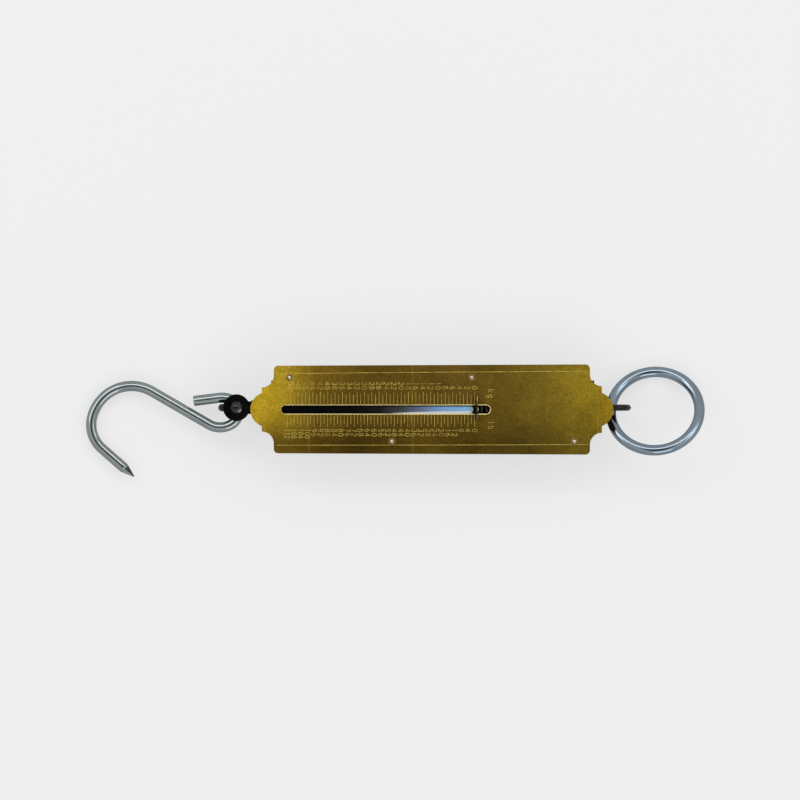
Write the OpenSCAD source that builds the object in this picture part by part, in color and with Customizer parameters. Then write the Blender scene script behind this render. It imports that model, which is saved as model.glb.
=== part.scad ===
// Brass-faced spring balance for 50 kg, lying on its back as it is photographed.
// +X runs to the suspension ring, -X to the hook, +Y up the photograph, +Z out of the face.
// The back of the case lies on z = 0, and x = 0 is the middle of the face plate.

/* [Face plate] */
// Length of the plate between the tips of its end lobes
face_length = 200; // [196:1:210]
// Length between the plate's square shoulders
shoulder_length = 174.2; // [170:1:176]
// Width at the hook end
face_width_hook = 48.3; // [46:0.5:54]
// Width at the ring end
face_width_ring = 49.7; // [46:0.5:54]
// Thickness of the brass sheet
face_thickness = 1.0; // [0.8:0.1:1.6]
// Radius of the rounded lobe at each end
lobe_radius = 9.8; // [8.5:0.1:10.5]
// Depth of the lobe beyond the hollow shoulders
lobe_depth = 6.3; // [5:0.1:7.5]
// Height of the hollow between each shoulder and the lobe
hollow_height = 6.6; // [5:0.1:8]
// Width of the small step where the hollow meets the shoulder
hollow_step = 1.2; // [0.5:0.1:2]
// Radius of the square corners
corner_radius = 2.4; // [1:0.1:4]

/* [Scale slot] */
// Width of the slot
slot_width = 4.7; // [4:0.1:5.4]
// Distance from the zero mark to the slot's ring end
slot_past_zero = 8.6; // [6:0.1:12]
// Distance from the full mark to the slot's hook end
slot_past_full = 5.4; // [4.6:0.1:8]
// Place of the zero mark along the plate
zero_x = 23.6; // [21:0.1:25]
// Capacity of the scale in kilograms
capacity_kg = 50; // [40:1:51]
// Length of scale for one kilogram
kg_step = 2.025; // [1.9:0.005:2.04]

/* [Case] */
// Length of the sheet steel case
case_length = 178; // [176:1:180]
// Width of the case outside
case_width = 30; // [29:0.2:30.4]
// Height of the face above the back of the case
case_height = 27.5; // [27:0.5:32]
// Thickness of the steel sheet
sheet = 1.2; // [1:0.1:1.5]
// Width over the two flanges that carry the face
flange_width = 43; // [41:0.5:44]
// How far the flanges stop short of each end of the case
flange_setback = 4.2; // [3:0.2:6]
// Depth of the draw axis below the face
axis_depth = 13.85; // [13.6:0.05:14.2]
// Sideways offset of the case and the draw gear from the middle of the face
axis_y = 1.0; // [0:0.1:1.4]
// Inside radius of the case's lower bends
bend_radius = 2.5; // [1:0.1:4]
// Thickness of the end plates
end_plate = 2.5; // [2:0.1:2.8]
// Length of the tabs that fix the end plates to the sides
tab_length = 7; // [5:0.5:7]

/* [Rivets] */
// Head diameter of the face rivets
face_rivet_head = 4.0; // [3:0.1:5]
// Shank diameter of the face rivets
face_rivet_shank = 2.2; // [1.6:0.1:2.6]
// Distance of the face rivets from the middle of the face
face_rivet_y = 17.6; // [17.4:0.1:18.6]
// Distance of the end rivets from the shoulders
rivet_inset = 8.6; // [7:0.1:12]
// Distance of the middle rivets from the middle of the plate
rivet_spread = 22; // [15:0.5:30]
// Shank diameter of the case rivets
case_rivet_shank = 3.0; // [2:0.1:3.4]

/* [Spring] */
// Wire diameter of the main spring
spring_wire = 2.62; // [2.2:0.02:2.75]
// Mean diameter of the coils
spring_mean = 18.2; // [16:0.1:19.5]
// Distance from one coil to the next
spring_pitch = 3.2; // [3.1:0.05:4]
// Distance of the plate that anchors the spring from the ring end of the case
anchor_inset = 12.5; // [11.6:0.1:13.5]

/* [Draw gear] */
// Diameter of the draw rod
rod_diameter = 5.0; // [4.5:0.1:6]
// Radial clearance of the rod in its bush
rod_clearance = 0.08; // [0.02:0.01:0.1]
// Thickness of the flange on each spring plug
plug_flange = 2.5; // [2:0.1:2.6]
// Least gap between the adjusting disc and the tip of the face plate
disc_gap = 0.3; // [0.3:0.1:2]
// Outside diameter of the hook eye
hook_eye_od = 20.4; // [19.6:0.1:22]
// Thickness of the hook eye's rim
hook_eye_rim = 4.2; // [3.8:0.1:4.3]
// Width of the pointer strip
strip_width = 7.0; // [6:0.5:9]
// Thickness of the pointer strip
strip_thickness = 1.4; // [1.2:0.1:1.5]
// Width of the strip's neck where it passes through the slot
neck_width = 3.8; // [3:0.1:4.1]
// Height of the pointer above the face
pointer_height = 3.4; // [2.5:0.1:5]
// Length of the pointer's cross-bar
pointer_length = 13; // [9:0.5:16]
// Thickness of the pointer's cross-bar
pointer_thickness = 1.2; // [0.8:0.1:1.6]
// Diameter of the black adjusting disc
disc_diameter = 14.8; // [13:0.1:15]
// Thickness of the adjusting disc
disc_thickness = 3.0; // [2:0.1:4]
// Head diameter of the disc's screw
disc_screw_head = 6.7; // [5.5:0.1:8]

/* [Ring and its eye] */
// Wire diameter of the suspension ring
ring_wire = 5.8; // [4.8:0.1:6]
// Inside diameter of the suspension ring
ring_inside = 43.2; // [40:0.2:60]
// Distance of the middle of the ring eye from the end of the case
ring_eye_reach = 11.1; // [10.8:0.1:13]
// Outside diameter of the ring eye
ring_eye_od = 18.6; // [17.6:0.1:19.2]
// Thickness of the ring eye's rim
ring_eye_rim = 3.5; // [3:0.1:3.6]

/* [Hook] */
// Wire diameter of the S-hook
hook_wire = 5.7; // [4.5:0.1:5.8]
// Radius of the big bend at the middle of the wire
big_radius = 22.6; // [20:0.1:28]
// Radius of the tighter end of the big bend
end_radius = 17.3; // [16:0.1:20]
// Radius of the small loop's nose at the middle of the wire
nose_radius = 7.2; // [7:0.1:8]
// Straight stretch at the nose of the small loop
nose_straight = 0.8; // [0.6:0.1:2]
// Radius of the small loop's flatter sides at the middle of the wire
side_radius = 12.4; // [11:0.1:14]
// Length of the pointed tip
tip_length = 7.4; // [5:0.1:9]
// Length of the small loop's free arm past its last bend
arm_length = 14.3; // [10:0.2:16]
// Length of the shank between the two loops
shank_length = 36.5; // [32:0.1:42]
// Straight stretch between the big bend and the tip
end_straight = 16.3; // [12:0.1:20]

/* [Hidden] */
$fn = 48;

// Heights above the back of the case
face_under = case_height - face_thickness;
axis_z = case_height - axis_depth;
strip_gap = 0.6;
strip_top = face_under - strip_gap;
strip_under = strip_top - strip_thickness;

// Places along the balance
body_shift = 0.5;
hook_end_x = body_shift - case_length / 2;
ring_end_x = body_shift + case_length / 2;
anchor_x = ring_end_x - anchor_inset;
ring_eye_x = ring_end_x + ring_eye_reach;
bush_lip = 1;
bush_reach = 3;
stop_gap = 0.5;
over_travel = 1.25;
travel = capacity_kg * kg_step + over_travel;
plug_x = hook_end_x + end_plate + bush_lip + stop_gap + travel;
slot_from = zero_x - capacity_kg * kg_step - slot_past_full;
slot_to = zero_x + slot_past_zero;

// Sizes shared by pieces that meet
inner_half = case_width / 2 - sheet;
seat = 0.05;
body_gap = 0.3;
clinch = 0.6;
ear_height = 9;
ear_proud = 0.8;
tab_height = 14;
washer_thickness = 1;
screw_shank = 3;
strip_rivet_shank = 2.4;
hook_eye_wall = 1.7;
ring_boss = 8;
washer_diameter = 10;
table_gap = 0.1;
pointer_rivet_shank = 1.6;
pointer_rivet_z = case_height + pointer_height / 2 + 0.4;
boss_length = 4;
plug_diameter = spring_mean + spring_wire + 0.7;
boss_diameter = 12;
pointer_x = zero_x + 0.5;
rivet_end_x = shoulder_length / 2 - rivet_inset;
rivet_places = [[-rivet_end_x, 1], [rivet_spread, 1], [-rivet_spread, -1], [rivet_end_x, -1]];
nut_flats = 8;
nut_height = 4;

// Points of a round stretch, from one angle to the other
function oval(centre, radii, from, to, steps = 10) = [for (i = [0 : steps])
    let (a = from + (to - from) * i / steps) centre + [radii[0] * cos(a), radii[1] * sin(a)]];
function arc(centre, radius, from, to, steps = 10) = oval(centre, [radius, radius], from, to, steps);

// The upper half of the plate's outline at one end, from its corner to the lobe's tip
function end_outline(half_width) = let (
    shoulder = shoulder_length / 2,
    room = face_length / 2 - shoulder,
    hollow_y = half_width - hollow_height + hollow_step,
    lobe_centre = face_length / 2 - lobe_radius,
    step_x = face_length / 2 - lobe_depth,
    meet = acos((step_x - lobe_centre) / lobe_radius)) concat(
        arc([shoulder - corner_radius, half_width - corner_radius], corner_radius, 90, 0, 8),
        oval([step_x, hollow_y], [room - lobe_depth, hollow_height], 180, 270, 14),
        arc([lobe_centre, 0], lobe_radius, meet, 0, 14));

function flip_x(points) = [for (p = points) [-p[0], p[1]]];
function flip_y(points) = [for (p = points) [p[0], -p[1]]];
function backwards(points) = [for (i = [len(points) - 1 : -1 : 0]) points[i]];

module along_x(x, length) {
    translate([x, 0, 0]) rotate([90, 0, 90]) linear_extrude(length) children();
}

module rod_x(x, length, diameter) {
    translate([x, axis_y, axis_z]) rotate([0, 90, 0]) cylinder(h = length, d = diameter);
}

module hex_x(x, length, flats) {
    translate([x, axis_y, axis_z]) rotate([0, 90, 0])
        cylinder(h = length, d = flats / cos(30), $fn = 6);
}

// A low domed head over a shank, with the head's flat on z = 0
module dome_rivet(head, height, shank, length) {
    dome = (head * head / 4 + height * height) / (2 * height);
    rotate_extrude() union() {
        intersection() {
            translate([0, height - dome]) circle(dome, $fn = 64);
            square([head, height]);
        }
        translate([0, -length]) square([shank / 2, length]);
    }
}

module face_outline() {
    ring_half = face_width_ring / 2;
    hook_half = face_width_hook / 2;
    ring_side = end_outline(ring_half);
    hook_side = end_outline(hook_half);
    polygon(concat(ring_side, backwards(flip_y(ring_side)), flip_x(flip_y(hook_side)),
        flip_x(backwards(hook_side))));
}

// The long slot with its two round ends, cut right through the plate
module slot_cut() {
    half = slot_width / 2;
    depth = face_thickness + 2;
    translate([0, 0, face_under - 1]) {
        translate([slot_from + half, -half, 0]) cube([slot_to - slot_from - slot_width, slot_width, depth]);
        for (x = [slot_from + half, slot_to - half]) translate([x, 0, 0]) cylinder(h = depth, r = half);
    }
}

module at_face_rivets() {
    for (place = rivet_places) translate([place[0], place[1] * face_rivet_y, case_height]) children();
}

module face_plate() {
    color("darkgoldenrod") difference() {
        translate([0, 0, face_under]) linear_extrude(face_thickness) face_outline();
        slot_cut();
        at_face_rivets() translate([0, 0, -2]) cylinder(h = 4, d = face_rivet_shank + 2 * seat);
    }
}

// Four rivets, headed over below the flanges
module face_rivets() {
    grip = face_thickness + sheet;
    color("goldenrod") at_face_rivets() {
        dome_rivet(face_rivet_head, 0.9, face_rivet_shank, grip);
        translate([0, 0, -grip - clinch]) cylinder(h = clinch, d = face_rivet_shank + 0.8);
    }
}

// Section of the trough: floor, two sides and two flanges turned outwards
module trough_section() {
    bend_out = bend_radius + sheet;
    top = face_under;
    wall_out = case_width / 2;
    low_in = sheet + bend_radius;
    flange = flange_width / 2;
    polygon(concat(
        [[-flange, top], [axis_y - inner_half, top]],
        arc([axis_y - inner_half + bend_radius, low_in], bend_radius, 180, 270, 6),
        arc([axis_y + inner_half - bend_radius, low_in], bend_radius, 270, 360, 6),
        [[axis_y + inner_half, top], [flange, top], [flange, top - sheet],
            [axis_y + wall_out, top - sheet]],
        arc([axis_y + wall_out - bend_out, bend_out], bend_out, 0, -90, 8),
        arc([axis_y - wall_out + bend_out, bend_out], bend_out, 270, 180, 8),
        [[axis_y - wall_out, top - sheet], [-flange, top - sheet]]));
}

module anchor_slots() {
    for (side = [-1, 1])
        translate([anchor_x - seat, axis_y + side * (inner_half + sheet / 2) - sheet,
                axis_z - ear_height / 2 - seat])
            cube([plug_flange + 2 * seat, 2 * sheet, ear_height + 2 * seat]);
}

module case_rivet_holes() {
    for (x = [hook_end_x + end_plate + tab_length / 2, ring_end_x - end_plate - tab_length / 2])
        translate([x, axis_y, axis_z]) rotate([90, 0, 0])
            cylinder(h = case_width + 4, d = case_rivet_shank + 2 * seat, center = true);
}

module case() {
    color("#2b2b2b") difference() {
        along_x(hook_end_x, case_length) trough_section();
        for (x = [hook_end_x, ring_end_x - flange_setback], side = [-1, 1])
            translate([x - 0.5, axis_y + side * (case_width / 2 + 10) - 10, face_under - 4])
                cube([flange_setback + 0.5 + (x > 0 ? 0.5 : 0), 20, 6]);
        at_face_rivets() translate([0, 0, -5]) cylinder(h = 5, d = face_rivet_shank + 2 * seat);
        anchor_slots();
        case_rivet_holes();
    }
}

// The inside of the trough, which the end plates fill
module inner_section(low = 0) {
    polygon(concat(
        [[axis_y - inner_half, face_under]],
        arc([axis_y - inner_half + bend_radius, sheet + bend_radius + low], bend_radius, 180, 270, 6),
        arc([axis_y + inner_half - bend_radius, sheet + bend_radius + low], bend_radius, 270, 360, 6),
        [[axis_y + inner_half, face_under]]));
}

// An end plate with two tabs folded back along the sides of the case
module end_plate_with_tabs(x, inward) {
    tab_from = inward > 0 ? x + end_plate : x - tab_length;
    along_x(x, end_plate) inner_section();
    for (side = [-1, 1])
        translate([tab_from, axis_y + side * (inner_half - sheet / 2) - sheet / 2, axis_z - tab_height / 2])
            cube([tab_length, sheet, tab_height]);
}

module hook_end_plate() {
    color("#333333") difference() {
        end_plate_with_tabs(hook_end_x, 1);
        rod_x(hook_end_x - 1, end_plate + 2, rod_diameter + 3 + 2 * seat);
        translate([hook_end_x - 1, axis_y - strip_width / 2 - 0.4, strip_under - 0.4])
            cube([end_plate + 2, strip_width + 0.8, 6]);
        case_rivet_holes();
    }
}

module ring_end_plate() {
    color("#333333") difference() {
        end_plate_with_tabs(ring_end_x - end_plate, -1);
        rod_x(ring_end_x - end_plate - 1, end_plate + 2, rod_diameter + 2 * rod_clearance);
        case_rivet_holes();
    }
}

// Rivets through the sides of the case and the tabs of the end plates
module case_rivets() {
    grip = 2 * sheet;
    color("#3a3a3a") for (x = [hook_end_x + end_plate + tab_length / 2,
            ring_end_x - end_plate - tab_length / 2], side = [-1, 1])
        translate([x, axis_y + side * case_width / 2, axis_z]) rotate([side * -90, 0, 0]) {
            dome_rivet(case_rivet_shank + 2, 1, case_rivet_shank, grip);
            translate([0, 0, -grip - clinch]) cylinder(h = clinch, d = case_rivet_shank + 1);
        }
}

// Flanged bush that guides the draw rod through the hook end
module guide_bush() {
    color("goldenrod") difference() {
        union() {
            rod_x(hook_end_x - bush_reach, bush_reach + end_plate, rod_diameter + 3);
            rod_x(hook_end_x + end_plate, bush_lip, rod_diameter + 6);
        }
        rod_x(hook_end_x - bush_reach - 1, bush_reach + end_plate + bush_lip + 2,
            rod_diameter + 2 * rod_clearance);
    }
}

// Plate with two ears in the sides of the case, holding the fixed end of the spring
module spring_anchor() {
    color("dimgray") {
        along_x(anchor_x, plug_flange) intersection() {
            inner_section();
            translate([axis_y - inner_half, axis_z - plug_diameter / 2])
                square([2 * inner_half, plug_diameter]);
        }
        translate([anchor_x, axis_y - case_width / 2 - ear_proud, axis_z - ear_height / 2])
            cube([plug_flange, case_width + 2 * ear_proud, ear_height]);
        rod_x(anchor_x - boss_length, boss_length, boss_diameter);
    }
}

// Centre line of the spring: a straight end, the coils and the other straight end
spring_from = plug_x + plug_flange;
spring_room = anchor_x - spring_from;
spring_turns = floor((spring_room - 2 * spring_wire) / spring_pitch);
coil_from = spring_from + (spring_room - spring_turns * spring_pitch) / 2;
coil_rings = 8;
ring_sides = 6;
coil_steps = spring_turns * coil_rings;
spring_points = concat(
    [[spring_from, spring_mean / 2, 0]],
    [for (i = [0 : coil_steps]) let (a = 360 * i / coil_rings)
        [coil_from + spring_pitch * i / coil_rings, spring_mean / 2 * cos(a), spring_mean / 2 * sin(a)]],
    [[anchor_x, spring_mean / 2, 0]]);

function unit(v) = v / norm(v);
function heading(points, i) = i == 0 || i == len(points) - 1 ? [1, 0, 0]
    : unit(points[i + 1] - points[i - 1]);
// Each ring of the tube stands square to the wire, its first side facing away from the axis
function tube_ring(points, i, radius, sides) = let (
    t = heading(points, i),
    outward = unit([0, points[i][1], points[i][2]]),
    side = unit(cross(t, outward)),
    up = cross(side, t)) [for (k = [0 : sides - 1]) let (a = 360 * k / sides)
        points[i] + radius * (cos(a) * up + sin(a) * side)];
function wall_faces(rings, sides) = [for (i = [0 : rings - 2], k = [0 : sides - 1], half = [0, 1])
    let (n = (k + 1) % sides, a = i * sides, b = a + sides)
        half == 0 ? [a + k, b + k, a + n] : [a + n, b + k, b + n]];
function cap_faces(first, sides, turn) = [for (k = [1 : sides - 2])
    turn ? [first, first + k + 1, first + k] : [first, first + k, first + k + 1]];
// Least distance between the wire's surface on one coil and on the next
spring_gap = min([for (i = [0 : coil_steps - coil_rings / 2])
    min([for (j = [i + coil_rings / 2 : min(coil_steps, i + 3 * coil_rings / 2)])
        norm(spring_points[i + 1] - spring_points[j + 1])])]) - spring_wire;
echo(spring_gap = spring_gap);

module spring() {
    rings = len(spring_points);
    color("#8b8f94") translate([0, axis_y, axis_z]) polyhedron(
        points = [for (i = [0 : rings - 1])
            each tube_ring(spring_points, i, spring_wire / 2, ring_sides)],
        faces = concat(wall_faces(rings, ring_sides), cap_faces(0, ring_sides, false),
            cap_faces((rings - 1) * ring_sides, ring_sides, true)), convexity = 10);
}

module spring_plug() {
    color("dimgray") difference() {
        union() {
            rod_x(plug_x, plug_flange, plug_diameter);
            rod_x(plug_x, plug_flange + boss_length, boss_diameter);
        }
        rod_x(plug_x - 1, plug_flange + boss_length + 2, rod_diameter + 2 * seat);
    }
}

nut_x = plug_x + plug_flange + boss_length;
rod_end_x = nut_x + nut_height + 1;
post_length = 4;
eye_neck = 1;
post_to = hook_end_x - bush_reach - stop_gap;
post_from = post_to - post_length;
post_middle = post_to - post_length / 2;
post_hole_z = axis_z + rod_diameter / 2 + 3;
// The eye stands clear of the post, and the disc over it stands clear of the face plate
hook_eye_x = min(-face_length / 2 - disc_gap - disc_diameter / 2, post_from - eye_neck - hook_eye_od / 2);
eye_ring = (hook_eye_od - hook_eye_rim) / 2;
rod_from_x = hook_eye_x + eye_ring - hook_eye_rim / 4;

module rod_nut() {
    color("#444444") difference() {
        hex_x(nut_x, nut_height, nut_flats);
        rod_x(nut_x - 1, nut_height + 2, rod_diameter + 2 * seat);
    }
}

module draw_rod() {
    color("silver") rod_x(rod_from_x, rod_end_x - rod_from_x, rod_diameter);
}

// A round-bodied eye in the upright plane, with a boss for its shank
module upright_eye(x, outside, rim, boss_from, boss_to, boss) {
    ring = (outside - rim) / 2;
    translate([x, axis_y, axis_z]) rotate([90, 0, 0]) rotate_extrude()
        translate([ring, 0]) circle(d = rim, $fn = 32);
    rod_x(min(boss_from, boss_to), abs(boss_to - boss_from), boss);
}

module hook_eye() {
    color("#1f1f1f") difference() {
        upright_eye(hook_eye_x, hook_eye_od, hook_eye_rim, hook_eye_x + eye_ring, post_from,
            rod_diameter + 2 * hook_eye_wall);
        rod_x(rod_from_x, 20, rod_diameter + 2 * seat);
    }
}

module neck_profile() {
    inner = 0.6;
    outer = inner + strip_thickness;
    bend_x = pointer_x - outer;
    top = case_height + pointer_height;
    polygon(concat(
        [[bend_x - 4, strip_under]],
        arc([bend_x, strip_top + inner], outer, 270, 360, 8),
        [[pointer_x, top], [pointer_x - strip_thickness, top]],
        arc([bend_x, strip_top + inner], inner, 360, 270, 6),
        [[bend_x - 4, strip_top]]));
}

// Flat steel strip under the slot; its end is narrowed and bent up through the slot
module pointer_strip() {
    wide_to = pointer_x - 3.6;
    color("#5b6b80") difference() {
        union() {
            translate([hook_eye_x, axis_y - strip_width / 2, strip_under])
                cube([wide_to - hook_eye_x, strip_width, strip_thickness]);
            translate([hook_eye_x, axis_y, strip_under])
                cylinder(h = strip_thickness, d = strip_width);
            translate([0, neck_width / 2, 0]) rotate([90, 0, 0])
                linear_extrude(neck_width) neck_profile();
        }
        translate([hook_eye_x, axis_y, strip_under - 1]) cylinder(h = 6, d = screw_shank + 2 * seat);
        translate([post_middle, axis_y, strip_under - 1])
            cylinder(h = 6, d = strip_rivet_shank + 2 * seat);
        translate([pointer_x - 3, 0, pointer_rivet_z]) rotate([0, 90, 0])
            cylinder(h = 6, d = pointer_rivet_shank + 2 * seat);
    }
}

// Collar on the rod with an upright that carries the strip
module strip_post() {
    color("#2b2b2b") difference() {
        union() {
            rod_x(post_from, post_length, rod_diameter + 5);
            translate([post_from, axis_y - 3, axis_z]) cube([post_length, 6, strip_under - axis_z]);
        }
        rod_x(post_from - 1, post_length + 2, rod_diameter + 2 * seat);
        translate([post_middle, axis_y, post_hole_z])
            cylinder(h = 20, d = strip_rivet_shank + 2 * seat);
    }
}

module strip_rivet() {
    foot = post_hole_z + 0.5;
    color("silver") translate([post_middle, axis_y, 0]) {
        translate([0, 0, foot]) cylinder(h = strip_top - foot, d = strip_rivet_shank);
        translate([0, 0, strip_top]) cylinder(h = 0.25, d1 = 3.8, d2 = 3);
    }
}

// Thin bar across the slot, standing on edge just clear of the face
module pointer() {
    lift = 0.4;
    height = pointer_height - lift;
    color("gainsboro") difference() {
        translate([pointer_x, axis_y, case_height + lift]) rotate([90, 0, 90])
            linear_extrude(pointer_thickness) polygon([
                [-pointer_length / 2, 0], [pointer_length / 2, 0],
                [pointer_length / 2, height * 0.35], [pointer_length / 2 - 3, height],
                [3 - pointer_length / 2, height], [-pointer_length / 2, height * 0.35]]);
        translate([pointer_x - 1, 0, pointer_rivet_z]) rotate([0, 90, 0])
            cylinder(h = 4, d = pointer_rivet_shank + 2 * seat);
    }
}

module pointer_rivet() {
    reach = strip_thickness + pointer_thickness;
    head = 0.4;
    color("silver") translate([pointer_x - strip_thickness, 0, pointer_rivet_z])
        rotate([0, 90, 0]) {
            cylinder(h = reach, d = pointer_rivet_shank);
            translate([0, 0, reach]) cylinder(h = head, d1 = 2.6, d2 = 2);
            translate([0, 0, -head]) cylinder(h = head, d1 = 2, d2 = 2.6);
        }
}

module adjusting_disc() {
    chamfer = 0.6;
    color("#111111") translate([hook_eye_x, axis_y, strip_top]) difference() {
        rotate_extrude() polygon([[0, 0], [disc_diameter / 2, 0],
            [disc_diameter / 2, disc_thickness - chamfer],
            [disc_diameter / 2 - chamfer, disc_thickness], [0, disc_thickness]]);
        translate([0, 0, -1]) cylinder(h = disc_thickness + 2, d = screw_shank + 2 * seat);
    }
}

// Pan-headed slotted screw that clamps the disc to the strip
module disc_screw() {
    head_height = 2;
    slot = 1;
    under = disc_thickness + strip_thickness;
    color("#555555") translate([hook_eye_x, axis_y, strip_top + disc_thickness]) difference() {
        dome_rivet(disc_screw_head, head_height, screw_shank, under);
        translate([-disc_screw_head, -slot / 2, head_height - 0.8]) cube([2 * disc_screw_head, slot, 2]);
    }
}

// Places along a bent wire, each [x, y, heading, half width, half height, roundness], where a
// roundness of 2 is a round section and 1 is a square standing on its corner
function along_bend(from, radius, turn) = let (
    steps = ceil(abs(turn) / 6),
    side = turn > 0 ? 1 : -1,
    centre = [from[0], from[1]] + side * radius * [-sin(from[2]), cos(from[2])])
    [for (k = [1 : steps]) let (h = from[2] + turn * k / steps)
        [centre[0] + side * radius * sin(h), centre[1] - side * radius * cos(h), h,
            from[3], from[4], from[5]]];
function along_straight(from, length, half_width, half_height, roundness) =
    [[from[0] + length * cos(from[2]), from[1] + length * sin(from[2]), from[2],
        half_width, half_height, roundness]];
// A step is [radius, turn] for a bend, or [0, length, half width, half height, roundness] for a straight
function follow(steps, from, i = 0) = i == len(steps) ? [] : let (
    step = steps[i],
    places = step[0] > 0 ? along_bend(from, step[0], step[1])
        : along_straight(from, step[1], step[2], step[3], step[4]))
    concat(places, follow(steps, places[len(places) - 1], i + 1));
function turned_round(places) = [for (p = backwards(places)) [p[0], p[1], p[2] + 180, p[3], p[4], p[5]]];

// The wire's middle line passes through the eye at this place, with room to swing below it
nose_room = 1.0;
nose_shift = 0.9;
nose_side = 2.8;
hook_nose = [hook_eye_x + nose_shift, axis_y - nose_side,
    axis_z - eye_ring + hook_eye_rim / 2 + hook_wire / 2 + nose_room];
hook_sides = 20;
half_wire = hook_wire / 2;
cut_edge = 0.5;
arm_steps = [[0, nose_straight, half_wire, half_wire, 2], [nose_radius, 70], [side_radius, 27],
    [0, arm_length - cut_edge, half_wire, half_wire, 2],
    [0, cut_edge, half_wire - cut_edge, half_wire - cut_edge, 2]];
// The tip is ground to a point with four flats, its ridges above, below and on both sides
tip_marks = [0, 0.04, 0.12, 0.3, 0.7, 1];
tip_steps = [for (i = [1 : len(tip_marks) - 1]) let (
    mark = tip_marks[i],
    half = half_wire * (1 - 0.9 * mark))
    [0, tip_length * (mark - tip_marks[i - 1]), half, half, max(1, 2 - 8 * mark)]];
shank_steps = concat([[nose_radius, -55.9], [side_radius, -64],
    [0, shank_length, half_wire, half_wire, 2], [big_radius, 107.3], [end_radius, 61.6],
    [0, end_straight, half_wire, half_wire, 2]], tip_steps);
nose_place = [0, 0, 90, half_wire, half_wire, 2];
foot_place = [0, 0, -90, half_wire, half_wire, 2];
hook_places = concat(turned_round(follow(arm_steps, nose_place)), [foot_place],
    follow(shank_steps, foot_place));

// The far bend of the hook rests on the table
hook_reach = max([for (place = hook_places) -place[0]]);
hook_drop = asin((hook_nose[2] - half_wire - table_gap) / hook_reach);

function wire_ring(place, sides) = [for (k = [0 : sides - 1]) let (
    a = 360 * k / sides,
    power = place[5],
    reach = pow(pow(abs(cos(a)), power) + pow(abs(sin(a)), power), -1 / power),
    across = place[3] * reach * cos(a))
    [place[0] - across * sin(place[2]), place[1] + across * cos(place[2]), place[4] * reach * sin(a)]];

module s_hook() {
    rings = len(hook_places);
    color("#9aa3ad") translate(hook_nose) rotate([0, -hook_drop, 0]) polyhedron(
        points = [for (place = hook_places) each wire_ring(place, hook_sides)],
        faces = concat(wall_faces(rings, hook_sides), cap_faces(0, hook_sides, false),
            cap_faces((rings - 1) * hook_sides, hook_sides, true)), convexity = 10);
}

ring_washer_x = ring_end_x - end_plate - body_gap - washer_thickness;
ring_shank_from = ring_washer_x - nut_height - 0.5;

module ring_eye() {
    color("#1f1f1f") {
        upright_eye(ring_eye_x, ring_eye_od, ring_eye_rim, ring_end_x + body_gap,
            ring_eye_x - (ring_eye_od - ring_eye_rim) / 2, ring_boss);
        rod_x(ring_shank_from, ring_end_x + body_gap - ring_shank_from, rod_diameter);
    }
}

module ring_washer() {
    color("silver") difference() {
        rod_x(ring_washer_x, washer_thickness, washer_diameter);
        rod_x(ring_washer_x - 1, washer_thickness + 2, rod_diameter + 2 * seat);
    }
}

module ring_nut() {
    color("#444444") difference() {
        hex_x(ring_washer_x - nut_height, nut_height, nut_flats);
        rod_x(ring_shank_from - 1, nut_height + 2, rod_diameter + 2 * seat);
    }
}

// The ring lies askew in its eye, turned a little and leaning until one side rests on the table
ring_radius = (ring_inside + ring_wire) / 2;
ring_shift = 1.95;
ring_side = 1.85;
ring_lift = 0.93;
ring_turn = 6;
ring_x = ring_eye_x - ring_shift + ring_radius;
ring_y = axis_y - ring_side;
ring_z = axis_z + ring_lift;
ring_roll = asin((ring_z - ring_wire / 2 - table_gap) / ring_radius);
echo(hook_nose = hook_nose, hook_drop = hook_drop, ring_roll = ring_roll);

module suspension_ring() {
    color("#9aa3ad") translate([ring_x, ring_y, ring_z]) rotate([0, 0, ring_turn])
        rotate([-ring_roll, 0, 0]) rotate_extrude()
            translate([ring_radius, 0]) circle(d = ring_wire);
}

face_plate();
face_rivets();
case();
hook_end_plate();
ring_end_plate();
case_rivets();
guide_bush();
spring_anchor();
spring();
spring_plug();
rod_nut();
draw_rod();
hook_eye();
pointer_strip();
strip_post();
strip_rivet();
pointer();
pointer_rivet();
adjusting_disc();
disc_screw();
s_hook();
ring_eye();
ring_washer();
ring_nut();
suspension_ring();
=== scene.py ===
import math
import random

import bmesh
import bpy
from mathutils import Matrix, Vector
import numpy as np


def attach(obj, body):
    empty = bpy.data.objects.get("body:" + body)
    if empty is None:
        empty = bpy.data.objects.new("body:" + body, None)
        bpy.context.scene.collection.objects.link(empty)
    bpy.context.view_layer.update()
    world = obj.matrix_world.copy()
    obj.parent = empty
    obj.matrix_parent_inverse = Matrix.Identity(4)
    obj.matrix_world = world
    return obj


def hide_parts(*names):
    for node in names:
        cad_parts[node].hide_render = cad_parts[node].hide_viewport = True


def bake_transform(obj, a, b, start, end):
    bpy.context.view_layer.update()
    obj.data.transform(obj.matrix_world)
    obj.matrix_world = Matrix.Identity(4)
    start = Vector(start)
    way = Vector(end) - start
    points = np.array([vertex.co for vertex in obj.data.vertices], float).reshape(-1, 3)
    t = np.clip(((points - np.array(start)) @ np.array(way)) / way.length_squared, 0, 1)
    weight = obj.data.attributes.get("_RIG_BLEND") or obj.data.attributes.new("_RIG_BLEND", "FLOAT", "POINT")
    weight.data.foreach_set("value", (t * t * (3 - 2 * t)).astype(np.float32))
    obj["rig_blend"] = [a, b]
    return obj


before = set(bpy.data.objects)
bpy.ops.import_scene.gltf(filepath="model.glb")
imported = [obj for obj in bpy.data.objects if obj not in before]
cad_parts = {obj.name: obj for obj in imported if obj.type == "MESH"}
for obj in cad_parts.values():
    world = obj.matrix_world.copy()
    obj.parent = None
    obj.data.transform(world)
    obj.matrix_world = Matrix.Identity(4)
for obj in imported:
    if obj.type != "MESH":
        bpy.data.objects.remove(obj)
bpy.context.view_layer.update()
random.seed(7)
MM = 0.001

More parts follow.
